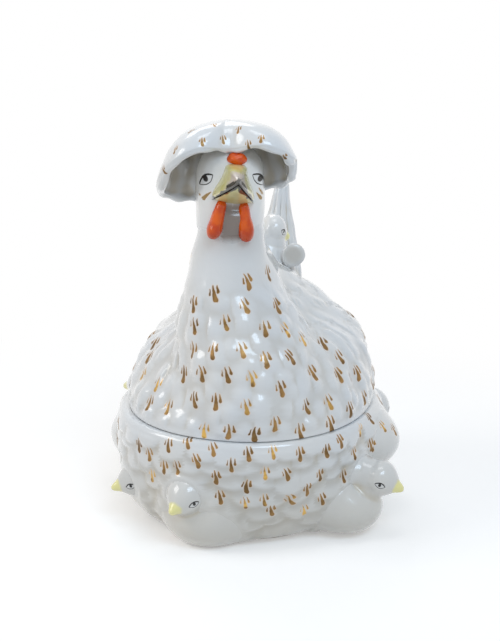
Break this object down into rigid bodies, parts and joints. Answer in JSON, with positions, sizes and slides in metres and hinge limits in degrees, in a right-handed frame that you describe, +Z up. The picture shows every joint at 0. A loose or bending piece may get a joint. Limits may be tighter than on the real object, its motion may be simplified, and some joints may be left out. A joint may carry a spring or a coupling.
{
  "type": "hen on nest dish",
  "caption": "Lidded oval tureen shaped as a sitting hen: the hollow hen is the cover, lifts off a nest dish with chicks around it, and carries a small chick on her back.",
  "frame": {"origin": "on the table, under the middle of the dish's oval, which is also the middle of the whole object's base", "axes": "+Z up, -Y the way the hen sits and looks, +X towards her left side"},
  "size_m": [0.2972, 0.2961, 0.3528],
  "materials": {
    "white_glaze": "glossy white glaze on porcelain with small gilded feather strokes",
    "bare_porcelain": "unglazed, matt, slightly rough",
    "red_glaze": "glossy orange-red painted under glaze",
    "yellow_glaze": "glossy pale yellow painted under glaze"
  },
  "bodies": {
    "nest": {"nest_dish": "white_glaze", "foot_ring": "bare_porcelain", "chick_front": "white_glaze", "chick_left_front": "white_glaze", "chick_right_front": "white_glaze", "chick_right_back": "white_glaze", "chick_left_back": "white_glaze", "chick_back_right": "white_glaze", "chick_back_left": "white_glaze"},
    "hen_cover": {"hen_body": "white_glaze", "cover_flange": "white_glaze", "hen_head": "white_glaze", "crest": "white_glaze", "comb": "red_glaze", "upper_beak": "yellow_glaze", "lower_beak": "yellow_glaze", "left_wattle": "red_glaze", "right_wattle": "red_glaze", "tail": "white_glaze", "left_curl": "white_glaze", "right_curl": "white_glaze", "back_chick": "white_glaze"}
  },
  "joints": [
    {"name": "cover_lift", "type": "slide", "parent": "nest", "child": "hen_cover", "axis": [0, 0, 1], "range_m": [0, 0.15]}
  ]
}
